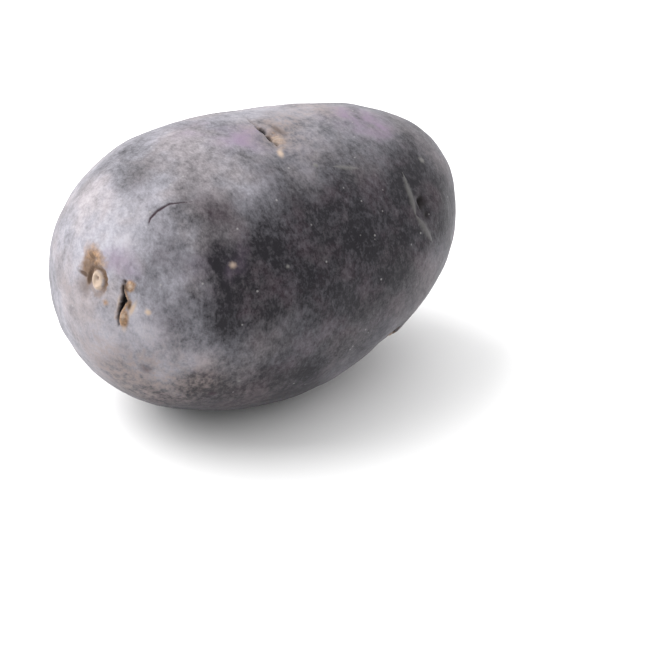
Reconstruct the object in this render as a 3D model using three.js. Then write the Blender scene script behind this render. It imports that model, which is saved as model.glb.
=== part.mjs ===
// A whole purple-skinned potato, lying on its flattened side.
//
// Millimetres, +Z up. The origin is on the resting plane, under the middle of the potato's box. The potato
// lies along X: its rose end, where the eyes crowd together, points to -X, and its stem end to +X.
//
// The tuber grew as one piece, so it is one closed mesh. A sphere of even triangles is pushed out to a
// body with blunt, unequal ends. Low swells and dips make that body uneven, each eye is pressed in, and the
// underside is flattened where the potato rests.
import * as THREE from "three";
import { mergeVertices } from "three/addons/utils/BufferGeometryUtils.js";

// Driving dimensions
const HALF_LENGTH = 47.7;
const HALF_WIDTH = 32;
const HALF_HEIGHT = 31.5;
const ROSE_END_FULLNESS = 2.19; // 2 is the end of an ellipsoid, and more is blunter
const STEM_END_FULLNESS = 2.49;
const WIDTH_TAPER = 0.075; // share of the width lost from the middle to the stem end
const HEIGHT_TAPER = 0.13;
const END_LIFT = 3.1; // how far the body's centre line curves up to both ends
const FLAT_DEPTH = 0.9; // how much of the underside the flat cuts away
const SPHERE_DETAIL = 15; // extra cuts in each edge of the icosahedron that the sphere is made from

const SKIN = { color: 0x6a6671, roughness: 0.75, metalness: 0 };

// Swells and dips of the body. Each lies in a direction from the body's centre, spreads over so much of a
// unit sphere, and stands so high, or lies so deep where its height is negative.
const SWELLS = [
  { place: "under the rose end", toward: [-0.97, 0.14, -0.2], spread: 0.3, height: 0.65 },
  { place: "far side of the rose end", toward: [-0.91, 0.35, 0.18], spread: 0.34, height: -1.1 },
  { place: "far shoulder of the rose end", toward: [-0.58, 0.42, 0.69], spread: 0.34, height: 0.75 },
  { place: "saddle on the far side of the top", toward: [0.46, 0.33, 0.82], spread: 0.3, height: -1.2 },
  { place: "upper stem end", toward: [0.93, -0.15, 0.33], spread: 0.3, height: 1 },
  { place: "near cheek of the stem end", toward: [0.93, -0.37, 0.07], spread: 0.28, height: -0.8 },
  { place: "under the near rose end", toward: [-0.7, -0.3, -0.62], spread: 0.3, height: -0.5 },
  { place: "middle of the far side", toward: [-0.05, 0.95, 0.1], spread: 0.32, height: -0.9 },
  { place: "far haunch", toward: [0.5, 0.82, -0.25], spread: 0.34, height: 0.7 },
  { place: "low middle of the near side", toward: [-0.1, -0.74, -0.66], spread: 0.36, height: 0.6 },
];

// Eyes. Each lies in a direction from the body's centre and is a shallow hollow, longer than it is wide.
// Its length runs round the potato, turned by so many degrees.
const EYES = [
  { place: "main rose eye", toward: [-0.968, -0.16, 0.19], length: 10, width: 8, depth: 0.8, turn: 10 },
  { place: "slot beside it", toward: [-0.932, -0.325, 0.155], length: 9, width: 5, depth: 1.0, turn: 0 },
  { place: "top", toward: [-0.044, -0.23, 0.97], length: 11, width: 6, depth: 1.1, turn: 0 },
  { place: "far top of the stem end", toward: [0.62, 0.5, 0.6], length: 10, width: 6, depth: 1.0, turn: -15 },
  { place: "far side", toward: [-0.28, 0.92, 0.26], length: 11, width: 6, depth: 1.1, turn: 12 },
  { place: "low far side", toward: [0.34, 0.82, -0.46], length: 9, width: 6, depth: 0.9, turn: -8 },
  { place: "far rose end", toward: [-0.86, 0.46, -0.2], length: 9, width: 6, depth: 0.9, turn: 20 },
  { place: "low near side", toward: [0.52, -0.66, -0.54], length: 9, width: 6, depth: 0.8, turn: -10 },
];

// The pit that the runner left at the stem end
const STEM_SCAR = { toward: [0.995, 0.06, 0.08], width: 9, depth: 1.3 };

const HOLLOW_SPREAD = 0.38; // spread of a hollow, as a share of its length and width

const centre = new THREE.Vector3(0, 0, HALF_HEIGHT - FLAT_DEPTH);

const unit = (toward) => new THREE.Vector3(...toward).normalize();

// The smooth body's surface, in a unit direction from its centre.
function bodyPoint(direction) {
  const fullness = direction.x < 0 ? ROSE_END_FULLNESS : STEM_END_FULLNESS;
  const along = Math.abs(direction.x) / HALF_LENGTH;
  const around = Math.hypot(direction.y / HALF_WIDTH, direction.z / HALF_HEIGHT);
  const reach = (along ** fullness + around ** fullness) ** (-1 / fullness);
  const point = direction.clone().multiplyScalar(reach);
  const station = point.x / HALF_LENGTH;
  point.y *= 1 - WIDTH_TAPER * station;
  point.z = point.z * (1 - HEIGHT_TAPER * station) + END_LIFT * station ** 2;
  return point.add(centre);
}

// A rounded bump that is 1 in its middle and fades out over about twice its spread.
function bump(distance, spread) {
  return Math.exp(-(distance ** 2) / (2 * spread ** 2));
}

// An eye's middle on the body, with the directions of its length, its width and the skin's outward normal.
function eyePlace(eye) {
  const outward = unit(eye.toward);
  const middle = bodyPoint(outward);
  const around = new THREE.Vector3(1, 0, 0).cross(outward).normalize();
  around.applyAxisAngle(outward, THREE.MathUtils.degToRad(eye.turn));
  const across = new THREE.Vector3().crossVectors(outward, around).normalize();
  return { ...eye, outward, middle, around, across };
}

// How deep an eye's hollow is at a point of the skin.
function eyeDepth(eye, point) {
  const offset = point.clone().sub(eye.middle);
  const lengthwise = offset.dot(eye.around) / eye.length;
  const crosswise = offset.dot(eye.across) / eye.width;
  const below = offset.dot(eye.outward) / eye.length;
  return eye.depth * bump(Math.hypot(lengthwise, crosswise, below), HOLLOW_SPREAD);
}

function potatoGeometry() {
  const ball = new THREE.IcosahedronGeometry(1, SPHERE_DETAIL);
  ball.deleteAttribute("normal");
  ball.deleteAttribute("uv");
  const geometry = mergeVertices(ball, 1e-5);

  const swells = SWELLS.map((swell) => ({ ...swell, outward: unit(swell.toward) }));
  const eyes = EYES.map(eyePlace);
  const scarMiddle = bodyPoint(unit(STEM_SCAR.toward));

  const places = geometry.getAttribute("position");
  const direction = new THREE.Vector3();
  for (let i = 0; i < places.count; i += 1) {
    direction.fromBufferAttribute(places, i).normalize();
    const point = bodyPoint(direction);
    let move = -STEM_SCAR.depth * bump(point.distanceTo(scarMiddle) / STEM_SCAR.width, HOLLOW_SPREAD);
    for (const swell of swells) {
      move += swell.height * bump(direction.distanceTo(swell.outward), swell.spread);
    }
    for (const eye of eyes) {
      move -= eyeDepth(eye, point);
    }
    point.addScaledVector(direction, move);
    places.setXYZ(i, point.x, point.y, Math.max(point.z, 0));
  }

  // Bring the middle of the box over the origin.
  geometry.computeBoundingBox();
  const middle = geometry.boundingBox.getCenter(new THREE.Vector3());
  geometry.translate(-middle.x, -middle.y, 0);
  geometry.computeVertexNormals();
  return geometry;
}

const potato = new THREE.Mesh(potatoGeometry(), new THREE.MeshStandardMaterial(SKIN));
potato.name = "potato";

const part = new THREE.Group();
part.add(potato);

export default part;
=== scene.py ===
# %% [markdown]
# # A whole purple potato
#
# A potato is a swollen stem. It grew as one piece, so it is one closed mesh here as well. All that makes it
# a potato and not a pebble is on its surface: a body with blunt, unequal ends, a few corky eyes, and a thin
# dark skin with pale dust on it.
#
# The solid model has the true size and the rough shape, and it comes first, because every place below is
# measured on it.

# %% Load the solid model
import math

import bpy
import numpy as np
from mathutils import Euler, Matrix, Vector, noise
from mathutils.bvhtree import BVHTree


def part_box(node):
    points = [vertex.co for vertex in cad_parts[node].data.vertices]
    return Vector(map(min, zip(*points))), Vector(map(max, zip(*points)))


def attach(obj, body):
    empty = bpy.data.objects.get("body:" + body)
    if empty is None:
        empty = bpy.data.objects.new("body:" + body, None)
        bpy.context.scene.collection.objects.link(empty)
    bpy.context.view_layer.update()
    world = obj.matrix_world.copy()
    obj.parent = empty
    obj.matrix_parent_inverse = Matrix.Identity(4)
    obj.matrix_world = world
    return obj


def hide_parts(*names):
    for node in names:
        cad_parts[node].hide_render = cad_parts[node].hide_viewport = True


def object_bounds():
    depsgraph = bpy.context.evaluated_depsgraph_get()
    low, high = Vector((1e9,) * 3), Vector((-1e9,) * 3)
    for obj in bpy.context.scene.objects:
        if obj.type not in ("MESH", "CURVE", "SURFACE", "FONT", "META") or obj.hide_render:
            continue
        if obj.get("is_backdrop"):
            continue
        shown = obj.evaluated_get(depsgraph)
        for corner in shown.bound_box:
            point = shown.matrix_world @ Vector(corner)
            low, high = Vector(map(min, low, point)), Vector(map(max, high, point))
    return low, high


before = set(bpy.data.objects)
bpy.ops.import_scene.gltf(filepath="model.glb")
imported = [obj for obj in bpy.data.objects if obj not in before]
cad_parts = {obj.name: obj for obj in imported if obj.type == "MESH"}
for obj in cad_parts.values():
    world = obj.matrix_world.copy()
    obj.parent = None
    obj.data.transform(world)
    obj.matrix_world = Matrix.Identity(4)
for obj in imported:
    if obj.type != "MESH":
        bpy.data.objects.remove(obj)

cad_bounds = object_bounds()
MM = 0.001
solid_low, solid_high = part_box("potato")
print("solid potato, mm:", [round(side / MM, 1) for side in solid_high - solid_low])

# %% [markdown]
# ## The camera
#
# A portrait lens from a distance of several potato lengths keeps the near end from looking swollen. The
# camera looks down on the rose end from its left. It first looks straight at the potato's middle and then
# turns a little to the right and down, so that the potato stands to the left of and above the picture's
# middle.

# %% Set up the camera
VIEW_AZIMUTH = math.radians(-33.8)
VIEW_ELEVATION = math.radians(30)
VIEW_DISTANCE = 0.408
TURN_RIGHT = math.radians(2.32)
TURN_DOWN = math.radians(2.26)

potato_middle = (solid_low + solid_high) / 2
level = math.cos(VIEW_ELEVATION)
towards_camera = Vector((
    math.sin(VIEW_AZIMUTH) * level,
    -math.cos(VIEW_AZIMUTH) * level,
    math.sin(VIEW_ELEVATION),
))
bpy.ops.object.camera_add(location=potato_middle + towards_camera * VIEW_DISTANCE)
camera = bpy.context.active_object
camera.name = "camera"
camera.data.lens = 100
camera.data.sensor_width = 36
camera.data.clip_start = 0.01
straight = (-towards_camera).to_track_quat("-Z", "Y")
aside = Euler((-TURN_DOWN, -TURN_RIGHT, 0)).to_quaternion()
camera.rotation_mode = "QUATERNION"
camera.rotation_quaternion = straight @ aside
bpy.context.scene.camera = camera
print("camera at, mm:", [round(part / MM) for part in camera.location])

# %% [markdown]
# ## The body
#
# The skin could be sculpted on a new sphere, but the solid already has the right body, and a copy of it
# stays true to size. The copy arrives as loose triangles. They are merged first, so that it is one skin, and
# two rounds of subdivision then give faces of about half a millimetre, fine enough for dimples.

# %% Copy and subdivide the body
def select_only(thing):
    """Selects one object and makes it the active one."""
    bpy.ops.object.select_all(action="DESELECT")
    thing.select_set(True)
    bpy.context.view_layer.objects.active = thing


def apply_modifier(thing, kind, **settings):
    """Adds a modifier, sets it up, and applies it at once."""
    modifier = thing.modifiers.new(kind.title(), kind)
    for name, value in settings.items():
        setattr(modifier, name, value)
    bpy.ops.object.modifier_apply(modifier=modifier.name)


potato = bpy.data.objects.new("purple_potato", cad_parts["potato"].data.copy())
potato.data.name = "purple_potato"
potato.data.materials.clear()
bpy.context.scene.collection.objects.link(potato)
select_only(potato)
bpy.ops.object.mode_set(mode="EDIT")
bpy.ops.mesh.select_all(action="SELECT")
bpy.ops.mesh.remove_doubles(threshold=0.001 * MM)
bpy.ops.object.mode_set(mode="OBJECT")
apply_modifier(potato, "SUBSURF", levels=2, render_levels=2)
print("body faces:", len(potato.data.polygons))

# %% [markdown]
# ## Uneven growth
#
# A tuber swells faster in one place than in another, so no stretch of it is a true curve. Broad, low swells
# and smaller ripples come from two Displace modifiers, each with a cloud texture. A bump in the material
# would be less work, but it would leave the outline too clean.

# %% Make the body uneven
def ripple(thing, name, spread, height):
    """Pushes the skin in and out by clouds about as wide as spread. Both sizes are in mm."""
    clouds = bpy.data.textures.new(name, "CLOUDS")
    clouds.noise_scale = spread * MM
    clouds.noise_depth = 2
    apply_modifier(thing, "DISPLACE", texture=clouds, texture_coords="LOCAL", strength=height * MM)


ripple(potato, "broad swells", spread=16, height=1.1)
ripple(potato, "small ripples", spread=4.5, height=0.22)

# %% [markdown]
# ## Where the marks are
#
# Each eye, fleck and scar has a place on the skin. The places are written in millimetres, and the nearest
# point of the skin is looked up, so that a mark can't float above it or sink below it. A mark also has its
# own directions: along it, across it, and out of the skin.

# %% Find places on the skin
MARK_PATCH = 4  # mm of skin round a mark that its directions are averaged over


class Mark:
    """A mark's own directions on the skin. Distances from its middle are in millimetres."""

    def __init__(self, place, along):
        self.place = Vector(place)
        self.rough_along = Vector(along)

    def settle(self, skin, places, normals):
        """Moves the mark onto the skin, and turns its directions to lie in it."""
        self.middle = np.array(skin.find_nearest(self.place * MM)[0]) / MM
        near = np.linalg.norm(places - self.middle, axis=1) < MARK_PATCH
        outward = normals[near].mean(axis=0)
        self.outward = outward / np.linalg.norm(outward)
        along = np.array(self.rough_along)
        along = along - self.outward * along.dot(self.outward)
        self.along = along / np.linalg.norm(along)
        self.across = np.cross(self.outward, self.along)

    def measure(self, places):
        """How far each point of the skin is from the middle, along the mark and across it."""
        offset = places - self.middle
        return offset @ self.along, offset @ self.across


MARKS = {
    # the eyes that crowd at the rose end
    "ring eye": Mark((-44.5, -8.0, 42.3), along=(-0.25, 0, -0.95)),
    "slot eye": Mark((-41.7, -14.3, 41.1), along=(-0.25, -0.1, -0.96)),
    "low far eye": Mark((-42, 15, 23), along=(0, -0.35, -1)),
    # the eye on top, and those round the hidden sides
    "top eye": Mark((-0.6, -2.1, 61.5), along=(-0.05, -1, 0)),
    "far stem eye": Mark((26, 17, 52), along=(0.3, 1, -0.8)),
    "far side eye": Mark((-12, 29, 41), along=(-0.1, 0.3, -1)),
    "far belly eye": Mark((14, 26, 17), along=(0.15, -0.4, -1)),
    "near belly eye": Mark((21, -21, 15), along=(0.15, 0.5, -1)),
    # the pit at the stem end
    "stem scar": Mark((47, 3, 34), along=(0, 0, 1)),
}


def read_triples(items, name):
    """Reads a place or a direction of each of a mesh's points or faces."""
    values = np.empty(len(items) * 3, dtype=np.float32)
    items.foreach_get(name, values)
    return values.reshape(-1, 3).astype(float)


def read_skin(thing):
    """The mesh's points in mm, and the directions that the skin faces at them."""
    points = thing.data.vertices
    return read_triples(points, "co") / MM, read_triples(points, "normal")


def settle_marks():
    """Puts every mark on the skin as it is now."""
    skin = BVHTree.FromObject(potato, bpy.context.evaluated_depsgraph_get())
    places, normals = read_skin(potato)
    for mark in MARKS.values():
        mark.settle(skin, places, normals)


settle_marks()
print("marks:", {name: [round(float(x), 1) for x in mark.middle] for name, mark in MARKS.items()})

# %% [markdown]
# ## Finer faces where they are needed
#
# An eye has lips and cracks narrower than one face of the body. Finer faces all over would make the mesh too
# heavy, so only the skin round the marks is subdivided. The thin marks come first. They follow the skin from
# point to point.

# %% Lines that run over the skin
SCRATCH = [
    (-34.8, -12.2, 53.7),
    (-33.5, -11.4, 54.9),
    (-31.8, -11.3, 56.0),
    (-29.2, -11.7, 57.0),
    (-25.2, -13.9, 57.3),
]
STEM_LINE = [(24.8, -18.5, 51.5), (24.4, -21.4, 48.8), (24.1, -23.7, 45.8), (23.9, -24.7, 44.1)]
STEM_LINE_BELOW = [(23.9, -24.7, 44.1), (25.5, -25.6, 40.9), (27.3, -26.1, 37.1)]
TOP_STREAK = [(8.0, -16.2, 56.8), (14.0, -17.3, 55.1)]
FAR_SCRATCH = [(-22, 27, 46), (-16, 26, 50), (-9, 25, 52)]
THIN_LINES = (SCRATCH, STEM_LINE, STEM_LINE_BELOW, TOP_STREAK, FAR_SCRATCH)


def distance_to_line(places, line):
    """How far each point is from a bent line, and how far along the line it is, from 0 to 1."""
    points = np.array(line, dtype=float)
    nearest = np.full(len(places), np.inf)
    share = np.zeros(len(places))
    for i in range(len(points) - 1):
        step = points[i + 1] - points[i]
        along = np.clip((places - points[i]) @ step / step.dot(step), 0, 1)
        away = np.linalg.norm(places - points[i] - along[:, None] * step, axis=1)
        closer = away < nearest
        nearest[closer] = away[closer]
        share[closer] = (i + along[closer]) / (len(points) - 1)
    return nearest, share


# %% [markdown]
# Then come the small spots, and how far the fine skin reaches round each mark. The second round of
# subdivision stays a margin inside the first, so that the faces get finer step by step.

# %% Subdivide round the marks
FLECKS = {
    # place, radius in mm, what it is covered with, how strongly
    "fleck by the slot": ((-39.4, -19.1, 38.8), 0.75, "pale", 0.8),
    "fleck on the near side": ((-22.9, -25.0, 47.2), 0.8, "pale", 0.5),
    "spot under the ring": ((-44.6, -11.1, 38.8), 0.8, "cork", 0.6),
    "speck near the middle": ((-11.7, -28.2, 44.8), 0.5, "scar", 0.7),
    "low speck": ((-23.2, -27.5, 20.8), 0.5, "scar", 0.7),
    "speck by the stem line": ((32.6, -15.3, 50.8), 0.9, "scar", 0.9),
    "dot by the streak": ((4.2, -15.2, 57.7), 0.6, "scar", 0.8),
    "bruise below the eyes": ((-39.9, -18.2, 24.7), 1.6, "scratch", 0.35),
    "bruise near the ground": ((-27.6, -23.9, 17.1), 1.0, "scratch", 0.6),
}


# how far round each mark the skin is refined, in mm
MARK_REACH = {"ring eye": 7.5, "slot eye": 8.0, "top eye": 8.2}
SMALL_MARK_REACH = 4.7
FLECK_BORDER = 1.4
LINE_REACH = 1.6


def refine(thing, wanted):
    """Cuts each face in four where wanted, given the faces' middles in mm, is true."""
    mesh = thing.data
    for items in (mesh.vertices, mesh.edges):
        items.foreach_set("select", np.zeros(len(items), dtype=bool))
    chosen = wanted(read_triples(mesh.polygons, "center") / MM)
    mesh.polygons.foreach_set("select", chosen)
    bpy.ops.object.mode_set(mode="EDIT")
    bpy.ops.mesh.select_mode(type="FACE")
    bpy.ops.mesh.subdivide(number_cuts=1, smoothness=0)
    bpy.ops.object.mode_set(mode="OBJECT")


def near_marks(margin):
    """A test for refine: is a face within a mark's reach, less the margin in mm?

    The small marks are so narrow that they give up only half of the margin."""
    def test(middles):
        chosen = np.zeros(len(middles), dtype=bool)
        for name, mark in MARKS.items():
            reach = MARK_REACH.get(name, SMALL_MARK_REACH)
            chosen |= np.linalg.norm(middles - mark.middle, axis=1) < reach - margin
        for place, radius, _, _ in FLECKS.values():
            reach = radius + FLECK_BORDER
            chosen |= np.linalg.norm(middles - np.array(place), axis=1) < reach - margin / 2
        for line in THIN_LINES:
            chosen |= distance_to_line(middles, line)[0] < LINE_REACH - margin / 2
        return chosen

    return test


refine(potato, near_marks(margin=0))
refine(potato, near_marks(margin=1.75))
select_only(potato)
bpy.ops.object.mode_set(mode="EDIT")
bpy.ops.mesh.select_all(action="SELECT")
bpy.ops.mesh.quads_convert_to_tris()
bpy.ops.object.mode_set(mode="OBJECT")
print("triangles after refining:", len(potato.data.polygons))

# %% [markdown]
# ## Sculpt the eyes
#
# An eye is a bud in the crook of a leaf scar. On an old tuber it is a hollow with a cork lip, and often a
# crack. Each shape below is a sum of soft strokes, as with a sculpting brush: a stroke is full in its middle
# and fades out smoothly, pushing the skin out or in. The same strokes also note what covers the skin: cork,
# pale new cork, brown stain, a scratch or a scar, and painted shade: near black inside cracks and pits, and
# the stain colour in one hollow. The material reads these notes later.
#
# A stroke's numbers are its own middle and size in millimetres, to the right of the eye's middle and down
# from it. The unevenness that is added to most strokes keeps their borders from being true ovals.

# %% Sculpting strokes
def fade(distance, reach):
    """1 at no distance, falling smoothly to 0 at the reach."""
    left = np.clip(1 - distance / reach, 0, 1)
    return left * left * (3 - 2 * left)


def oval(right, down, middle, size):
    """How far out in an oval each point is: 0 in its middle and 1 at its border."""
    return np.hypot((right - middle[0]) / size[0], (down - middle[1]) / size[1])


def spot(right, down, middle, size, uneven=0):
    """A soft oval stroke: 1 in its middle, 0 at its border."""
    return fade(oval(right, down, middle, size) + uneven, 1)


def within(out, border, softness):
    """A flat stroke: 1 all over, and down to 0 at the border in a soft edge."""
    return np.clip((border - out) / softness, 0, 1)


def roughness_at(places, size, seed):
    """Uneven heights between about -1 and 1, with grains of about this size in mm."""
    shift = Vector((seed * 7.3, seed * 3.1, seed * 5.7))
    return np.array([noise.fractal(Vector(place) / size + shift, 0.7, 2.0, 3) for place in places])


def strongest(*amounts):
    """The strongest of several strokes at each point."""
    return np.maximum.reduce(amounts)


# the gap cover is painted shade, near black in cracks and pits, and the stain cover also holds some painted
# shade
COVERS = ("cork", "pale", "stain_and_shade", "painted_gap_shade", "scratch", "scar")


class Sculpt:
    """The skin while it is worked on: its points, how far each is pushed out, and what covers it."""

    def __init__(self, thing):
        self.thing = thing
        self.places, self.normals = read_skin(thing)
        self.push = np.zeros(len(self.places))
        self.cover = {kind: np.zeros(len(self.places)) for kind in COVERS}

    def near(self, middle, reach):
        """The points within reach of a place."""
        return np.flatnonzero(np.linalg.norm(self.places - middle, axis=1) < reach)

    def around(self, mark, reach):
        """The points within reach of a mark, where they are, and how far down and to the right of it."""
        points = self.near(mark.middle, reach)
        places = self.places[points]
        return points, places, *mark.measure(places)

    def mark(self, kind, points, amount):
        """Notes that these points are covered so much by one of the covers."""
        self.cover[kind][points] = np.maximum(self.cover[kind][points], np.clip(amount, 0, 1))

    def clear(self, kind, points, amount):
        """Takes so much of a cover away from these points."""
        self.cover[kind][points] *= 1 - np.clip(amount, 0, 1)

    def finish(self):
        """Moves the points and writes the covers into the mesh."""
        moved = self.places + self.normals * self.push[:, None]
        moved[:, 2] = np.maximum(moved[:, 2], 0)  # nothing goes below the floor
        self.thing.data.vertices.foreach_set("co", (moved * MM).astype(np.float32).ravel())
        for kind, amount in self.cover.items():
            layer = self.thing.data.attributes.new(kind, "FLOAT", "POINT")
            layer.data.foreach_set("value", amount.astype(np.float32))
        self.thing.data.update()


settle_marks()
sculpt = Sculpt(potato)

# %% [markdown]
# ### The ring eye
#
# A sprout broke off here and left a pale ring of cork with a hole in it. Above it lies a brown crust. A
# brown moat runs round the ring, and the skin beside it is stained and a little sunken. The hollow below it
# on the left is darkened with painted shade in the stain colour.

# %% Sculpt the ring eye
def sculpt_ring_eye(mark):
    """The ring and its hole, the moat, the crust, the stained skin on the left, and painted shade in the
    hollow below.
    """
    points, places, down, right = sculpt.around(mark, 12)
    rough = roughness_at(places, 0.8, seed=1)
    coarse = roughness_at(places, 2.2, seed=2)

    # the ring, which leans a little, and what is inside it
    leaning = right - 0.12 * down
    out = oval(leaning, down, (-0.05, -0.05), (1.05, 1.38))
    ring = fade(np.abs(out + 0.12 * coarse - 1) / 0.62, 1) * (0.85 + 0.25 * rough)
    disc = within(out - 0.15 * coarse, 1.6, 0.35)
    tongue = spot(leaning, down, (0.1, 1.0), (0.95, 1.25))
    hole = spot(leaning, down, (-0.1, -0.55), (0.6, 0.75))

    # the moat round it, which is shallow below
    moat = fade(np.abs(out + 0.4 * coarse + 0.15 * rough - 1.95) / 0.85, 1)
    moat_depth = 0.3 + 0.7 * np.clip(1.4 - np.abs(down + 1.2) / 2.2, 0, 1)
    moat = np.clip(1.3 * moat, 0, 1) * moat_depth

    # the crust above it
    crust = within(oval(right, down, (-2.1, -4.2), (3.7, 2.6)) + 0.3 * coarse + 0.15 * rough, 1.1, 0.6)
    pale_crust = spot(right, down, (0.3, -4.6), (2.6, 2.4))
    clean_crust = spot(right, down, (0, -5.2), (3.0, 2.2))
    under_crust = spot(right, down, (-0.2, -2.5), (2.6, 0.9), 0.15 * coarse)

    # the skin on the left, and the hollow below it, which gets painted shade
    brown = within(oval(right, down, (-2.9, -1.7), (2.9, 3.0)) + 0.35 * coarse, 1.05, 0.6)
    streak = within(oval(right, down, (-3.9, 0.1), (2.3, 0.7)) + 0.25 * coarse, 1, 0.5)
    shade = spot(right, down, (-2.6, 2.4), (4.0, 3.8), 0.15 * coarse)
    beside_ring = np.clip(1.6 * spot(right, down, (-2.3, 0.1), (1.3, 2.8), 0.15 * coarse), 0, 1)

    sculpt.push[points] += 0.34 * ring + 0.22 * tongue - 0.4 * hole - 0.36 * moat
    sculpt.push[points] += crust * (0.18 + 0.09 * rough) - 0.10 * streak - 0.35 * shade - 0.08 * brown
    sculpt.mark("cork", points, strongest(crust * (0.95 + 0.2 * rough), 0.85 * brown, 0.9 * moat))
    sculpt.mark("cork", points, 0.8 * beside_ring)
    sculpt.mark("pale", points, 0.3 * crust * pale_crust)
    # painted shade: the hollow below the ring (shade) is darkened with the stain colour
    sculpt.mark("stain_and_shade", points, strongest(0.6 * brown, 0.85 * under_crust, 0.9 * streak, 0.5 * shade))
    sculpt.mark("stain_and_shade", points, strongest(0.75 * moat, 0.95 * beside_ring))
    sculpt.mark("stain_and_shade", points, 0.75 * crust * np.clip(2.2 * coarse - 0.1, 0, 1))
    sculpt.clear("stain_and_shade", points, 0.5 * clean_crust)
    sculpt.clear("stain_and_shade", points, disc)
    sculpt.mark("stain_and_shade", points, 0.3 * hole)
    sculpt.mark("pale", points, disc * (1 - 0.9 * hole))
    sculpt.mark("cork", points, 0.9 * hole)


sculpt_ring_eye(MARKS["ring eye"])

# %% [markdown]
# ### The slot eye
#
# This eye opened as it grew and became a crack, widest in the middle and thin below. Two knobs of cork and a
# strip of pale cork sit on its right lip, and the skin round its top is brown and folded. The crack is
# painted near black as shade, and the knobs have painted highlights of pale cork on them.

# %% Sculpt the slot eye
def sculpt_slot_eye(mark):
    """The crack and its lips, the knobs, and the brown and pale skin beside them."""
    points, places, down, right = sculpt.around(mark, 12)
    rough = roughness_at(places, 0.8, seed=3)
    coarse = roughness_at(places, 2.0, seed=4)

    # the crack: where its middle runs, and half its width, at places down its length
    stations = [-2.2, -1.1, 0.0, 0.9, 1.9, 3.7, 5.1, 6.2, 6.9]
    middle_line = np.interp(down, stations, [-0.6, -0.55, -0.25, -0.05, -0.35, -0.7, -0.7, -0.45, -0.4])
    half_width = np.interp(down, stations, [0, 0.12, 0.3, 0.68, 0.5, 0.17, 0.13, 0.1, 0])
    half_width = half_width * (1 + 0.3 * rough)
    beside = np.abs(right - middle_line)
    crack = np.clip((half_width - beside) / 0.4 + 0.5, 0, 1) * (half_width > 0.02)

    # its lips, which fade towards both ends
    ends = np.clip(2.2 * fade(np.abs(down - 2.3) / 5.6, 1), 0, 1)
    lip = fade((beside - half_width - 0.3) / 0.8, 1) * (beside > half_width - 0.3) * ends
    right_side = np.clip((right - middle_line) / 0.6, 0, 1)
    left_edge = spot(right, down, (-1.15, 1.4), (0.45, 1.8))

    # the knobs, each with a painted highlight of pale cork and dark folds
    top_knob = spot(right, down, (1.0, -2.2), (1.5, 1.9), 0.2 * coarse)
    low_knob = spot(right, down, (0.45, 4.9), (1.35, 2.6), 0.15 * coarse)
    top_painted_highlight = spot(right, down, (1.1, -2.4), (0.9, 1.0), 0.2 * rough)
    low_painted_highlight = spot(right, down, (0.35, 4.2), (0.65, 1.2), 0.2 * rough)
    low_stain = spot(right, down, (0.6, 5.3), (0.6, 0.8))
    folds = np.clip(1.5 * rough, 0, 1) * np.maximum(top_knob, low_knob)

    # the skin beside them
    top_pit = spot(right, down, (-0.4, -2.8), (0.75, 0.8), 0.15 * rough)
    top_folds = spot(right, down, (-0.2, -1.6), (1.5, 1.9), 0.3 * rough)
    brown = spot(right, down, (1.25, 1.8), (0.8, 1.7), 0.2 * rough)
    pale_strip = spot(right + 0.3 * (down - 2.4), down, (2.0, 2.4), (0.75, 2.8), 0.15 * coarse)
    tail = spot(right, down, (0.7, 7.0), (0.9, 1.1), 0.15 * coarse)

    sculpt.push[points] += -1.4 * crack + lip * (0.10 + 0.16 * right_side) + 0.06 * rough * lip
    sculpt.push[points] += 0.22 * rough * top_folds
    sculpt.push[points] += 0.45 * top_knob + 0.45 * low_knob - 0.35 * top_pit + 0.08 * pale_strip
    # painted shade: the crack and the pit above it are coloured near black
    sculpt.mark("painted_gap_shade", points, 1.3 * crack + 0.55 * top_pit)
    sculpt.mark("cork", points, strongest(2.2 * top_knob, 2.4 * low_knob, 1.2 * brown))
    sculpt.mark("cork", points, lip * (0.25 + 0.75 * right_side + 0.3 * rough))
    sculpt.mark("stain_and_shade", points, strongest(0.9 * brown, 0.5 * low_stain, 0.9 * top_pit))
    sculpt.mark("stain_and_shade", points, strongest(folds, 1.1 * top_folds))
    sculpt.mark("pale", points, strongest(1.1 * pale_strip, 0.6 * tail, 0.5 * left_edge))
    # painted highlights: pale cork on the knobs stands in for light falling on them
    sculpt.mark("pale", points, strongest(0.95 * top_painted_highlight, 0.9 * low_painted_highlight))


sculpt_slot_eye(MARKS["slot eye"])

# %% [markdown]
# ### The top eye
#
# Here the leaf scar grew into a fold. The skin on the rose side stands up like an eyebrow, and three small
# pits lie under it in a row, with a strip of cork and a pale fleck on the other side.

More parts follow.
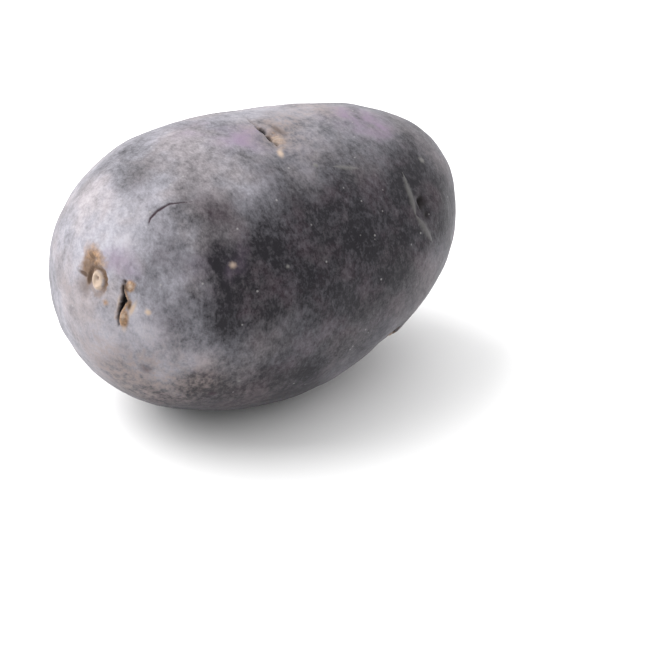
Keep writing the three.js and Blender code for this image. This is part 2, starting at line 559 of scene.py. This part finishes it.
# %% Sculpt the top eye
def sculpt_top_eye(mark):
    """The brow and the crease under it, the pits in the crease, and the cork on the other side."""
    points, places, down, right = sculpt.around(mark, 16)
    rough = roughness_at(places, 0.9, seed=5)
    coarse = roughness_at(places, 2.5, seed=6)

    # the fold: where it runs at places down its length, and the brow on one side of it
    stations = [-9, -7, -3.5, 0, 2.8, 5, 8.5]
    fold_line = np.interp(down, stations, [0.6, 0.3, -0.4, -0.15, 0.15, 0.7, 0.0])
    beside = right - fold_line + 0.15 * coarse
    fold_reach = fade(np.abs(down + 0.5) / 10.5, 1)
    crest = beside + 1.3
    brow = np.where(crest < 0, fade(-crest / 5, 1), fade(crest / 2.2, 1)) * fold_reach
    crease = fade(np.abs(beside - 0.2) / 0.9, 1) * fold_reach

    # the pits
    first_pit = spot(right, down, (0.05, -0.2), (1.45, 1.8), 0.15 * rough)
    second_pit = spot(right, down, (0.2, 3.0), (0.7, 1.5), 0.15 * rough)
    third_pit = spot(right, down, (0.75, 5.1), (0.7, 0.9))

    # the other side
    band = spot(right - 0.15 * down, down, (3.4, 0.8), (1.5, 4.5), 0.25 * coarse)
    strip = spot(right, down, (1.6, 3.2), (2.3, 4.8), 0.3 * coarse)
    fleck = spot(right + 0.3 * (down - 8.2), down, (-0.1, 8.2), (1.15, 1.8), 0.25 * coarse)

    sculpt.push[points] += 0.7 * brow - 0.45 * crease - 1.3 * first_pit - 1.0 * second_pit - 0.35 * third_pit
    sculpt.push[points] += strip * (0.12 + 0.1 * rough) - 0.25 * band + 0.1 * fleck
    # painted shade: the three pits are coloured near black
    sculpt.mark("painted_gap_shade", points, strongest(1.8 * first_pit, 1.1 * second_pit, 0.6 * third_pit))
    sculpt.mark("stain_and_shade", points, strongest(0.65 * band, 0.6 * crease * (0.7 + 0.5 * rough)))
    sculpt.mark("cork", points, strip * (0.35 + 0.35 * rough))
    sculpt.mark("pale", points, strongest(1.15 * fleck, 0.35 * strip * (down > 3)))


sculpt_top_eye(MARKS["top eye"])

# %% [markdown]
# ### The other eyes and the stem scar
#
# The eyes on the other sides are of one kind: a curved brow, a thin crack below it, and a low bud of cork in
# its middle. The runner that fed the tuber was attached at the stem end, and it left a rough, round pit.

# %% Sculpt the plain eyes and the stem scar
def sculpt_plain_eye(mark, size, seed):
    """A brow, a bent crack under it, and a bud of cork, all grown by size."""
    points, places, down, right = sculpt.around(mark, 10)
    rough = roughness_at(places, 0.9, seed=seed)
    coarse = roughness_at(places, 2.2, seed=seed + 20)

    down_grown = down / size
    bent = right / size - 0.05 * down_grown ** 2 + 0.15 * coarse
    run = np.abs(down) / (4.2 * size)
    brow = np.where(bent > 0.5, fade((bent - 0.5) / 3.0, 1), fade((0.5 - bent) / 0.7, 1)) * fade(run, 1)
    crack = fade(np.abs(bent) / 0.55, 1) * fade(run, 0.85)
    bud = spot(bent, down_grown, (-0.9, 0), (0.9, 1.2), 0.15 * rough)
    rim = spot(bent, down_grown, (0, 0), (1.5, 3.4), 0.25 * coarse)

    sculpt.push[points] += size * (0.42 * brow - 0.75 * crack + 0.35 * bud)
    # painted shade: the crack is coloured near black
    sculpt.mark("painted_gap_shade", points, 1.2 * crack * (1 - bud))
    sculpt.mark("cork", points, strongest(1.3 * bud, rim * (0.55 + 0.7 * rough)))
    sculpt.mark("pale", points, 0.5 * bud)


def sculpt_stem_scar(mark):
    """A round pit with a rim, and the stub of the runner in it."""
    points, places, up, side = sculpt.around(mark, 10)
    rough = roughness_at(places, 0.8, seed=9)
    coarse = roughness_at(places, 2.0, seed=10)

    out = oval(up, side, (0, 0), (2.6, 2.3)) + 0.12 * coarse
    floor = fade(np.clip(out - 0.55, 0, None), 0.5)
    rim = fade(np.abs(out - 1.15), 0.5)
    stub = fade(out / 0.42, 1)
    sculpt.push[points] += -0.7 * floor + 0.25 * rim + 0.35 * stub + 0.14 * rough * floor
    sculpt.mark("cork", points, 1.2 * floor + 0.5 * rim * (0.5 + rough))
    # painted shade: a ring in the pit's floor is coloured near black
    sculpt.mark("painted_gap_shade", points, 0.6 * fade(np.abs(out - 0.72), 0.25) * (0.6 + rough))


PLAIN_EYES = ["low far eye", "far stem eye", "far side eye", "far belly eye", "near belly eye"]
for number, name in enumerate(PLAIN_EYES):
    sculpt_plain_eye(MARKS[name], size=0.85 + 0.06 * number, seed=11 + number)
sculpt_stem_scar(MARKS["stem scar"])

# %% [markdown]
# ### Scratches, scars and flecks
#
# A fresh scratch is a thin dark groove. A healed one stands up a little and is pale. Flecks are single small
# spots: pale cork where the skin has flaked off, a speck of scar, or a bruise. Beside the healed line at the
# stem end are two small pits, coloured near black inside as painted shade.

# %% Sculpt the thin marks
skin_now = BVHTree.FromObject(potato, bpy.context.evaluated_depsgraph_get())


def on_skin(place):
    """The skin's nearest point to a place. Both are in mm."""
    return np.array(skin_now.find_nearest(Vector(place) * MM)[0]) / MM


def sculpt_line(line, half_width, height, kind, strength, seed):
    """A groove or a ridge that runs over the skin and thins out at both ends."""
    away, share = distance_to_line(sculpt.places, [on_skin(place) for place in line])
    points = np.flatnonzero(away < 3)
    rough = roughness_at(sculpt.places[points], 1.2, seed=seed)
    thinning = np.clip(4 * share[points] * (1 - share[points]), 0.15, 1)
    width = half_width * thinning * (1 + 0.4 * rough)
    amount = fade(away[points] / (2 * width), 1)
    sculpt.push[points] += height * amount
    sculpt.mark(kind, points, strength * 1.2 * amount)


def sculpt_spot(place, radius, height, kind, strength, uneven, seed):
    """A small round spot with an uneven border. A height below nothing makes it a pit."""
    middle = on_skin(place)
    points = sculpt.near(middle, 4)
    places = sculpt.places[points]
    away = np.linalg.norm(places - middle, axis=1) * (1 + uneven * roughness_at(places, 0.9, seed=seed))
    amount = fade(away / radius, 1)
    sculpt.push[points] += height * amount
    sculpt.mark(kind, points, strength * amount)


sculpt_line(SCRATCH, half_width=0.22, height=-0.16, kind="scratch", strength=1.0, seed=31)
sculpt_line(STEM_LINE, half_width=0.7, height=0.16, kind="scar", strength=0.55, seed=32)
sculpt_line(STEM_LINE_BELOW, half_width=0.75, height=0.16, kind="scar", strength=0.5, seed=35)
sculpt_line(TOP_STREAK, half_width=0.45, height=0.05, kind="scar", strength=0.55, seed=33)
sculpt_line(FAR_SCRATCH, half_width=0.22, height=-0.14, kind="scratch", strength=0.9, seed=34)

for number, (place, radius, kind, strength) in enumerate(FLECKS.values()):
    sculpt_spot(place, 1.35 * radius, 0.08, kind, 1.5 * strength, uneven=0.35, seed=40 + number)

STEM_PITS = [
    # place, radius in mm, depth in mm
    ((27.0, -22.7, 45.6), 1.9, 1.5),
    ((27.5, -24.0, 42.9), 1.4, 0.5),
]
# painted shade: the two pits are coloured near black
for place, radius, depth in STEM_PITS:
    sculpt_spot(place, radius, -depth, "painted_gap_shade", 2.6 * depth, uneven=0.3, seed=50)

# %% [markdown]
# ### Shoulders and dents
#
# The body is a little too lean at two places on top, so they are filled out with strokes as wide as a
# shoulder. Changing the solid would do as well, but these swells are low enough for the brush.

# %% Fill out the shoulders
SHOULDERS = [
    # middle in mm, radius in mm, how far out in mm
    ((18, 10, 60), 24, 0.8),
    ((42, -6, 48), 18, 0.6),
]
for place, radius, height in SHOULDERS:
    away = np.linalg.norm(sculpt.places - np.array(place), axis=1)
    sculpt.push += height * fade(away / radius, 1)

# %% [markdown]
# The stones in the soil press shallow dents into every tuber. Nobody would place each by hand, so their
# places, widths and depths are drawn from seeded chance, and come out the same in every run.

# %% Make shallow dents all over
DENT_COUNT = 46
DENT_WIDTHS = (1.5, 5)  # mm
DENT_DEPTHS = (0.04, 0.12)  # mm

dents = np.random.RandomState(746)
for _ in range(DENT_COUNT):
    direction = dents.normal(size=3)
    direction /= np.linalg.norm(direction)
    dent_middle = sculpt.places[np.argmax((sculpt.places - sculpt.places.mean(axis=0)) @ direction)]
    dent_reach = dents.uniform(*DENT_WIDTHS)
    points = sculpt.near(dent_middle, dent_reach)
    dent = fade(np.linalg.norm(sculpt.places[points] - dent_middle, axis=1) / dent_reach, 1)
    sculpt.push[points] -= dents.uniform(*DENT_DEPTHS) * dent

sculpt.finish()
print("push, mm:", round(float(sculpt.push.min()), 2), "to", round(float(sculpt.push.max()), 2))

# %% [markdown]
# ## A map for the skin
#
# The finish below needs no map, because it is worked out from places in space. A map still helps whoever
# paints this potato later. The skin is unwrapped like a label on a tin, round the long axis, with its one
# seam along the underside.

# %% Unwrap the skin
MAP_MARGIN = 0.006  # free border of the map, as a share of its side
MAP_ASPECT = 1.35  # how much longer than round the potato is, so that the ends aren't squeezed


def unwrap_round(thing):
    """Lays the skin out flat: the turn round X goes across the map, and the length along X goes up it."""
    places, _ = read_skin(thing)
    centre = places.mean(axis=0)
    mesh = thing.data
    corner_points = np.empty(len(mesh.loops), dtype=np.int32)
    mesh.loops.foreach_get("vertex_index", corner_points)
    corners = (places - centre)[corner_points].reshape(-1, 3, 3)
    turn = (np.arctan2(corners[:, :, 1], corners[:, :, 2]) / (2 * math.pi) + 0.5) % 1
    # A face on the seam would stretch right across the map, so its low side is moved past the high side.
    wraps = np.ptp(turn, axis=1) > 0.5
    turn[wraps] = np.where(turn[wraps] < 0.5, turn[wraps] + 1, turn[wraps])
    radius = np.hypot(corners[:, :, 1], corners[:, :, 2])
    station = np.arctan2(corners[:, :, 0], MAP_ASPECT * radius) / math.pi + 0.5
    spread = 1 - 2 * MAP_MARGIN
    room_past_seam = 1.01
    flat = np.stack([MAP_MARGIN + turn * spread / room_past_seam, MAP_MARGIN + station * spread], axis=2)
    layer = mesh.uv_layers.new(name="OFBake")
    layer.uv.foreach_set("vector", flat.astype(np.float32).ravel())
    return flat


skin_map = unwrap_round(potato)
print("map reaches:", skin_map.min().round(3), "to", skin_map.max().round(3))
select_only(potato)
bpy.ops.object.shade_smooth()

# %% [markdown]
# ## Tools for the finish
#
# The finish is built from nodes, so it has no image that could blur close up. A few short helpers keep each
# step to a line or two. The patterns are node groups with names of their own, and give out only masks.

# %% Node helpers
def add_node(tree, kind, inputs, **settings):
    """Adds a node, sets it up, and links or fills its inputs."""
    made = tree.nodes.new(kind)
    made.location.x = 200 * len(tree.nodes)
    for name, value in settings.items():
        setattr(made, name, value)
    for name, value in inputs.items():
        if isinstance(value, bpy.types.NodeSocket):
            tree.links.new(value, made.inputs[name])
        else:
            made.inputs[name].default_value = value
    return made


def maths(tree, operation, first, second=0.0, third=0.0):
    """One step of arithmetic on numbers."""
    return add_node(tree, "ShaderNodeMath", {0: first, 1: second, 2: third}, operation=operation).outputs[0]


def vector_maths(tree, operation, first, second, result="Vector"):
    """One step of arithmetic on places. The second is a place as well, or a number when scaling."""
    inputs = {0: first, "Scale" if operation == "SCALE" else 1: second}
    return add_node(tree, "ShaderNodeVectorMath", inputs, operation=operation).outputs[result]


def fit_range(tree, value, low, high, to_low=0.0, to_high=1.0):
    """Eases a value over from one range to another, and holds it at both ends."""
    inputs = {"Value": value, "From Min": low, "From Max": high, "To Min": to_low, "To Max": to_high}
    return add_node(tree, "ShaderNodeMapRange", inputs, interpolation_type="SMOOTHSTEP").outputs["Result"]


def blend(tree, amount, under, over):
    """Lays one colour over another. The Mix node's sockets for colours have the numbers 6 and 7, and 2."""
    inputs = {0: amount, 6: under, 7: over}
    return add_node(tree, "ShaderNodeMix", inputs, data_type="RGBA").outputs[2]


def cloud(tree, places, scale, detail, roughness, output="Fac"):
    """Soft noise. A scale of 1 has clouds of about a millimetre, and 0.1 of about a centimetre."""
    inputs = {"Vector": places, "Scale": scale, "Detail": detail, "Roughness": roughness}
    return add_node(tree, "ShaderNodeTexNoise", inputs).outputs[output]


def start_group(name, takes, gives):
    """Starts a node group with named inputs and outputs, and returns it with both ends."""
    group = bpy.data.node_groups.new(name, "ShaderNodeTree")
    for label, (kind, value) in takes.items():
        socket = group.interface.new_socket(label, in_out="INPUT", socket_type=kind)
        if value is not None:
            socket.default_value = value
    for label, kind in gives.items():
        group.interface.new_socket(label, in_out="OUTPUT", socket_type=kind)
    return group, group.nodes.new("NodeGroupInput").outputs, group.nodes.new("NodeGroupOutput").inputs


def use_group(tree, group, inputs):
    """Places a node group in a tree, and returns its outputs."""
    return add_node(tree, "ShaderNodeGroup", inputs, node_tree=group).outputs


# %% [markdown]
# ### Soft patch
#
# Handling rubs the dust off in some places and leaves it thick in others, and the same patches also paint
# light and shade. A soft patch is 1 at its middle and fades to 0 at its radius.

# %% Build the soft patch group
def make_soft_patch():
    """A mask that is 1 at a middle and 0 from a radius on."""
    takes = {
        "Places": ("NodeSocketVector", None),
        "Middle": ("NodeSocketVector", None),
        "Radius": ("NodeSocketFloat", 10.0),
    }
    group, given, result = start_group("soft patch", takes, {"Mask": "NodeSocketFloat"})
    away = vector_maths(group, "DISTANCE", given["Places"], given["Middle"], result="Value")
    group.links.new(fit_range(group, away, given["Radius"], 0.0), result["Mask"])
    return group


soft_patch = make_soft_patch()

# %% [markdown]
# ### Skin grain
#
# Close up, the dust sits on the skin in grains. They are drawn out round the potato, the way the skin
# stretched as it grew. Three sizes of cloud are added: mottles, grains and fine grains.

# %% Build the skin grain group
def make_skin_grain():
    """Three sizes of noise, each about one half on average."""
    takes = {"Places": ("NodeSocketVector", None)}
    gives = {"Mottle": "NodeSocketFloat", "Grain": "NodeSocketFloat", "Fine": "NodeSocketFloat"}
    group, given, result = start_group("skin grain", takes, gives)
    stretched = vector_maths(group, "MULTIPLY", given["Places"], (1.2, 0.85, 0.85))
    group.links.new(cloud(group, given["Places"], 0.13, 3.0, 0.55), result["Mottle"])
    group.links.new(cloud(group, stretched, 0.75, 4.0, 0.65), result["Grain"])
    group.links.new(cloud(group, stretched, 2.2, 2.0, 0.6), result["Fine"])
    return group


skin_grain = make_skin_grain()

# %% [markdown]
# ### Breathing pores
#
# A potato breathes through pores, which show as small pale dots. Each cell of a Voronoi pattern holds one
# dot, and many cells are left empty.

# %% Build the pore group
def make_pores():
    """Dots of a radius, in mm, in a share of the pattern's cells."""
    takes = {
        "Places": ("NodeSocketVector", None),
        "Spacing": ("NodeSocketFloat", 3.0),
        "Radius": ("NodeSocketFloat", 0.3),
        "Share": ("NodeSocketFloat", 0.4),
    }
    group, given, result = start_group("pores", takes, {"Mask": "NodeSocketFloat"})
    per_mm = maths(group, "DIVIDE", 1.0, given["Spacing"])
    cells = add_node(group, "ShaderNodeTexVoronoi", {"Vector": given["Places"], "Scale": per_mm})
    away = maths(group, "MULTIPLY", cells.outputs["Distance"], given["Spacing"])
    full_inside = maths(group, "MULTIPLY", given["Radius"], 0.35)
    dot = fit_range(group, away, given["Radius"], full_inside)
    lot = add_node(group, "ShaderNodeSeparateColor", {0: cells.outputs["Color"]}).outputs[0]
    kept = maths(group, "LESS_THAN", lot, given["Share"])
    group.links.new(maths(group, "MULTIPLY", dot, kept), result["Mask"])
    return group


pores = make_pores()

# %% [markdown]
# ## The skin
#
# The skin itself is almost black violet. What the eye sees is mostly the dust on it: a thin, pale lavender
# bloom with a little dry soil. So the colour is built in that order: skin, dust, the violet flushes that
# shine through it, soil, pores, and at last what was noted while sculpting. The amount of dust also paints
# light and shade on the body.

# %% Choose the colours
BARE_SKIN = (0.0115, 0.01, 0.0135, 1)
WARM_SKIN = (0.024, 0.014, 0.02, 1)
DUST = (0.415, 0.406, 0.452, 1)
WARM_DUST = (0.425, 0.392, 0.414, 1)
SOIL = (0.24, 0.19, 0.175, 1)
FLUSH = (0.215, 0.16, 0.23, 1)
PORE = (0.34, 0.33, 0.33, 1)
CORK_DARK = (0.2, 0.125, 0.078, 1)
CORK_LIGHT = (0.36, 0.225, 0.135, 1)
COVER_COLOURS = {
    # the covers of one colour, in the order that they lie on one another
    # brown stain, which also carries painted shade in the hollow below the ring eye
    "stain_and_shade": (0.075, 0.045, 0.028, 1),
    "pale": (0.45, 0.35, 0.275, 1),
    "scar": (0.15, 0.145, 0.14, 1),
    "scratch": (0.035, 0.018, 0.026, 1),
    # painted shade: near black for the inside of cracks and pits
    "painted_gap_shade": (0.008, 0.006, 0.006, 1),
}

# %% [markdown]
# ### Where the dust lies
#
# Dust is measured as a thickness: 0 is bare skin, and 1 is as thick as it gets. An even coat lies all over,
# and soft patches add to it or rub it off. The broad patches are partly painted light and shade: they make
# the top and the rose end lighter, where the light falls, and the near side and the underside darker, where
# shade falls. The broad patches get ragged borders later, and the mottles keep more of their shape. Flushes
# and soil are placed in the same way.

# %% Choose where the dust is thick, where it is rubbed off, and where it paints light and shade
EVEN_DUST = 0.3
LEAST_DUST = 0.04
MOST_DUST = 1.0
BROKEN_FROM = 0.62  # from this thickness on, the noise breaks the dust up fully
DUST_COVER = 0.8  # the thickest dust hides this share of the skin

DUST_AND_PAINTED_LIGHT_PATCHES = [
    # middle in mm, radius in mm, how much dust it adds
    # thick over the rose end: dust, and painted light on the lit end
    ((-46, -2, 42), 34, 0.42),
    ((-40, -5, 51), 16, 0.5),
    ((-46, -4, 26), 22, 0.3),
    ((-45, -13, 34), 14, 0.2),
    ((-36, -20, 28), 16, 0.2),
    ((-33, -17, 51), 8, 0.25),
    ((-34, -23, 26), 8, 0.25),
    ((-30, -13, 57), 6, 0.15),
    ((-34, 14, 52), 18, 0.3),
    # thick along the top: dust, and painted light on the lit top
    ((-14, 2, 64), 28, 0.34),
    ((-12, -17, 58), 8, 0.2),
    ((4, 12, 61), 18, 0.15),
    ((9, -12, 59), 10, 0.12),
    ((18, 6, 62), 24, 0.4),
    # thick at the stem end
    ((38, -13, 50), 10, 0.2),
    ((40, 14, 18), 22, 0.2),
    # painted shade on the near side: less dust makes the side turned from the light darker
    ((4, -32, 45), 34, -0.46),
    ((-22, -28, 44), 16, -0.32),
    ((30, -21, 45), 19, -0.38),
    ((-24, -15, 56), 8, -0.18),
    ((-28, -24, 36), 9, -0.12),
    # painted shade near the ground: less dust makes the underside darker
    ((-41, -14, 15), 11, -0.3),
    ((-30, -18, 10), 16, -0.35),
    ((-20, -20, 6), 20, -0.4),
    ((-20, -26, 14), 18, -0.3),
    ((-14, -28, 8), 26, -0.3),
    ((-12, -24, 8), 18, -0.3),
    # rubbed off the far side
    ((6, 34, 40), 30, -0.3),
    ((-14, 30, 28), 30, -0.3),
    ((-36, 22, 36), 18, -0.25),
    ((-28, 24, 16), 20, -0.15),
]
DUST_MOTTLES = [
    # the same, for small patches: the thick ones
    ((-27.5, -7.5, 59), 7, 0.3),
    ((-16, -14, 59), 7, 0.25),
    ((1, -18, 57), 8, 0.15),
    ((-30, -20, 50), 6, 0.15),
    ((-35, -20, 45), 6, 0.35),
    ((-30, -23, 45), 5, 0.2),
    ((-41, -16, 40), 6, 0.15),
    ((-30, -24, 40), 6, 0.15),
    ((-31.5, -26, 36), 5, 0.2),
    ((-31, -25, 31), 6, 0.08),
    ((-36, -21, 26), 7, 0.2),
    # and the thin ones
    ((-32, -2, 58.5), 9, -0.35),
    ((-10, -16, 58), 8, -0.1),
    ((-25, -15, 56.5), 6, -0.06),
    ((-20.5, -17, 56.5), 7, -0.15),
    ((-34.5, -17.5, 49.5), 8, -0.36),
    ((-26, -22.5, 49.5), 6, -0.2),
    ((-21.5, -27, 44), 6, -0.2),
    ((-37, -22, 35), 7, -0.2),
    ((-31, -24.5, 22.5), 7, -0.3),
]
FLUSH_PATCHES = [
    # beside the eyes, where the skin was young
    ((-7, -3, 62), 9, 1.1),
    ((-13, 4, 62), 8, 0.5),
    ((24, -4, 58), 10, 1.4),
    ((-40.4, -12.7, 47), 6, 1.0),
    # faint ones on the near and far sides
    ((-27, -24, 46), 7, 0.4),
    ((-22, -26, 50), 5, 0.4),
    ((-5, 24, 52), 9, 0.6),
    ((-24, 24, 40), 12, 0.5),
    ((34, 18, 40), 8, 0.5),
]
SOIL_PATCHES = [
    # at the rose end and near the ground
    ((-48, -2, 38), 12, 0.5),
    ((-42, -14, 22), 20, 1.0),
    ((-32, -22, 24), 12, 0.5),
    ((-20, -24, 12), 18, 0.15),
    ((-30, 20, 12), 18, 0.5),
    ((30, 10, 8), 24, 0.5),
    # on top
    ((4, -2, 61), 13, 0.9),
    ((18, 4, 59), 14, 0.7),
]


def sum_patches(tree, places, patches, start=0.0):
    """Adds up soft patches, from an even start."""
    total = start
    for middle, radius, strength in patches:
        mask = use_group(tree, soft_patch, {"Places": places, "Middle": middle, "Radius": radius})["Mask"]
        total = maths(tree, "MULTIPLY_ADD", mask, strength, total)
    return total


# %% [markdown]
# ### Put the skin together
#
# Clouds push the places about before the patches read them, which gives the patches uneven borders. The
# noise that breaks the dust up is weak where the dust is thin, so that bare skin stays dark.

# %% Build the skin material
DRIFT = 16.0  # mm between the farthest places that a border is pushed to
CALM_DRIFT = 0.35  # the share of it that the mottles get
LEAST_MOTTLING = 0.22  # how strong the noise still is where the dust is thinnest
LEAST_GRAINING = 0.5
PORE_STRENGTH = 0.6
BARE_ROUGHNESS = 0.52
DUSTY_ROUGHNESS = 0.8
GRAIN_HEIGHT = 0.12  # mm


def drift_places(tree, places):
    """Two drifted copies of the places: one for the broad patches, and a calmer one for the mottles."""
    drift = cloud(tree, places, 0.09, 4.0, 0.6, output="Color")
    drift = vector_maths(tree, "SUBTRACT", drift, (0.5, 0.5, 0.5))
    drift = vector_maths(tree, "SCALE", drift, DRIFT)
    ragged = vector_maths(tree, "ADD", places, drift)
    calmer = vector_maths(tree, "SCALE", drift, CALM_DRIFT)
    return ragged, vector_maths(tree, "ADD", places, calmer)


def lay_dust_and_painted_light(tree, ragged, less_ragged, grain):
    """How much of the skin is hidden by dust, from 0 to 1. It also paints light on the top and
    the rose end, and shade on the near side and the underside.
    """
    # the broad patches paint light on the top and the rose end and shade on the near side and the underside,
    # as well as dust
    thickness_with_painted_light = sum_patches(tree, ragged, DUST_AND_PAINTED_LIGHT_PATCHES, EVEN_DUST)
    thickness_with_painted_light = maths(tree, "ADD", thickness_with_painted_light, sum_patches(tree, less_ragged, DUST_MOTTLES))
    thickness_with_painted_light = maths(tree, "MINIMUM", maths(tree, "MAXIMUM", thickness_with_painted_light, LEAST_DUST), MOST_DUST)
    # The noises lie round one half, so half of each weight is taken off again.
    mottles = maths(tree, "MULTIPLY_ADD", grain["Mottle"], 1.3, -0.65)
    grains = maths(tree, "MULTIPLY_ADD", grain["Grain"], 1.0, -0.5)
    grains = maths(tree, "ADD", grains, maths(tree, "MULTIPLY_ADD", grain["Fine"], 0.5, -0.25))
    dust_and_painted_light = thickness_with_painted_light
    for uneven, least_breakage in ((mottles, LEAST_MOTTLING), (grains, LEAST_GRAINING)):
        breakage = fit_range(tree, thickness_with_painted_light, LEAST_DUST, BROKEN_FROM, least_breakage, 1.0)
        dust_and_painted_light = maths(tree, "MULTIPLY_ADD", uneven, breakage, dust_and_painted_light)
    dust_and_painted_light = maths(tree, "MULTIPLY", dust_and_painted_light, DUST_COVER)
    return add_node(tree, "ShaderNodeClamp", {"Value": dust_and_painted_light}).outputs[0]


def colour_skin(tree, places, ragged, grain, dust_and_painted_light, dots):
    """The skin's own two colours, and over them dust with painted light and shade, flushes, soil and pores.
    """
    tint = fit_range(tree, cloud(tree, places, 0.13, 3.0, 0.6), 0.45, 0.7)
    colour = blend(tree, tint, BARE_SKIN, WARM_SKIN)
    warm = fit_range(tree, cloud(tree, places, 0.07, 3.0, 0.6), 0.42, 0.62)
    colour = blend(tree, dust_and_painted_light, colour, blend(tree, warm, DUST, WARM_DUST))
    flush = sum_patches(tree, ragged, FLUSH_PATCHES)
    flush = maths(tree, "MULTIPLY", flush, fit_range(tree, grain["Mottle"], 0.3, 0.7))
    colour = blend(tree, flush, colour, FLUSH)
    soil = sum_patches(tree, ragged, SOIL_PATCHES)
    soil = maths(tree, "MULTIPLY", soil, fit_range(tree, grain["Grain"], 0.3, 0.75))
    colour = blend(tree, soil, colour, SOIL)
    return blend(tree, maths(tree, "MULTIPLY", dots, PORE_STRENGTH), colour, PORE)


def make_potato_skin():
    """The finish of the whole potato. Its numbers are in mm, so the object's places are scaled up first."""
    material = bpy.data.materials.new("purple potato skin")
    material.use_nodes = True
    tree = material.node_tree
    tree.nodes.clear()
    where = add_node(tree, "ShaderNodeTexCoord", {}).outputs["Object"]
    places = vector_maths(tree, "SCALE", where, 1 / MM)
    ragged, less_ragged = drift_places(tree, places)
    grain = use_group(tree, skin_grain, {"Places": places})
    dots = use_group(tree, pores, {"Places": places, "Spacing": 3.4, "Radius": 0.34, "Share": 0.45})["Mask"]
    dust_and_painted_light = lay_dust_and_painted_light(tree, ragged, less_ragged, grain)
    colour = colour_skin(tree, places, ragged, grain, dust_and_painted_light, dots)

    # what was noted while sculpting
    crumbs = cloud(tree, places, 1.3, 3.0, 0.65)
    cork = blend(tree, fit_range(tree, crumbs, 0.3, 0.66), CORK_DARK, CORK_LIGHT)
    noted = {}
    for kind, cover in {"cork": cork, **COVER_COLOURS}.items():
        noted[kind] = add_node(tree, "ShaderNodeAttribute", {}, attribute_name=kind).outputs["Fac"]
        colour = blend(tree, noted[kind], colour, cover)

    # Bare skin is smoother than dust, and neither shines much. Grains, pores and cork stand a little proud.
    roughness = fit_range(tree, dust_and_painted_light, 0.0, 1.0, BARE_ROUGHNESS, DUSTY_ROUGHNESS)
    height = maths(tree, "MULTIPLY_ADD", grain["Grain"], 1.0, maths(tree, "MULTIPLY", grain["Fine"], 0.5))
    height = maths(tree, "MULTIPLY_ADD", dots, 0.25, height)
    height = maths(tree, "MULTIPLY_ADD", maths(tree, "MULTIPLY", noted["cork"], crumbs), 0.8, height)
    grain_size = {"Height": height, "Distance": GRAIN_HEIGHT * MM, "Strength": 0.8}
    bump = add_node(tree, "ShaderNodeBump", grain_size)
    shader = add_node(tree, "ShaderNodeBsdfPrincipled", {
        "Base Color": colour,
        "Roughness": roughness,
        "Normal": bump.outputs["Normal"],
        "Specular IOR Level": 0.19,
        "Sheen Weight": 0.12,
        "Sheen Roughness": 0.45,
        "Sheen Tint": (0.85, 0.83, 0.9, 1),
    })
    add_node(tree, "ShaderNodeOutputMaterial", {"Surface": shader.outputs[0]})
    return material


potato.data.materials.append(make_potato_skin())
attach(potato, "root")
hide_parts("potato")
print("skin nodes:", len(potato.data.materials[0].node_tree.nodes))

# %% [markdown]
# ## The studio
#
# The potato lies on a white floor under one large soft light, high on the left and a little behind it. The
# surroundings are white behind the potato and dimmer on the camera's side, so the near side falls into
# shade while its edges stay light.

# %% Floor, light and surroundings
def make_floor():
    """A matt white floor under the potato."""
    bpy.ops.mesh.primitive_plane_add(size=8)
    floor = bpy.context.active_object
    floor.name = "studio_floor"
    material = bpy.data.materials.new("white floor")
    material.use_nodes = True
    shader = material.node_tree.nodes["Principled BSDF"]
    shader.inputs["Base Color"].default_value = (0.93, 0.93, 0.93, 1)
    shader.inputs["Roughness"].default_value = 0.9
    shader.inputs["Specular IOR Level"].default_value = 0.0
    floor.data.materials.append(material)
    floor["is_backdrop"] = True


def add_softbox(name, direction, distance, size, power):
    """A square soft light that shines at the potato from a direction."""
    place = potato_middle + Vector(direction).normalized() * distance
    bpy.ops.object.light_add(type="AREA", location=place)
    light = bpy.context.active_object
    light.name = name
    light.data.size = size
    light.data.energy = power
    light.rotation_euler = (potato_middle - place).to_track_quat("-Z", "Y").to_euler()


def make_surroundings(camera_side, behind, horizon):
    """Light that grows towards the far side and upwards. The camera itself sees white."""
    world = bpy.data.worlds.new("white studio")
    world.use_nodes = True
    tree = world.node_tree
    tree.nodes.clear()
    direction = add_node(tree, "ShaderNodeTexCoord", {}).outputs["Generated"]
    away = Vector((-towards_camera.x, -towards_camera.y, 0)).normalized()
    facing = vector_maths(tree, "DOT_PRODUCT", direction, away, result="Value")
    strength = fit_range(tree, facing, -0.6, 0.7, camera_side, behind)
    height = add_node(tree, "ShaderNodeSeparateXYZ", {0: direction}).outputs["Z"]
    strength = maths(tree, "MULTIPLY", strength, fit_range(tree, height, 0.1, 0.5, horizon, 1.0))
    seen = add_node(tree, "ShaderNodeLightPath", {}).outputs["Is Camera Ray"]
    strength = maths(tree, "MAXIMUM", strength, seen)
    background = add_node(tree, "ShaderNodeBackground", {"Color": (1, 1, 1, 1), "Strength": strength})
    add_node(tree, "ShaderNodeOutputWorld", {"Surface": background.outputs[0]})
    bpy.context.scene.world = world


make_floor()
screen_left = Vector((-math.cos(VIEW_AZIMUTH), -math.sin(VIEW_AZIMUTH), 0))
screen_away = Vector((-math.sin(VIEW_AZIMUTH), math.cos(VIEW_AZIMUTH), 0))
key_direction = screen_left * 0.9 + screen_away * 0.25 + Vector((0, 0, 1.0))
add_softbox("key", key_direction, distance=1.2, size=1.2, power=20)
make_surroundings(camera_side=1.0, behind=1.55, horizon=0.12)
bpy.context.scene.view_settings.view_transform = "Standard"

# %% [markdown]
# ## The size of the skin and the solid
#
# The skin stands a little proud of the solid in places, so both boxes are printed.

# %% Measure and finish
visual_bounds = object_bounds()
sizes = {
    "cad": [list(corner) for corner in cad_bounds],
    "visual": [list(corner) for corner in visual_bounds],
}
for name, corners in sizes.items():
    print(name, "box, mm:", [[round(x / MM, 1) for x in corner] for corner in corners])
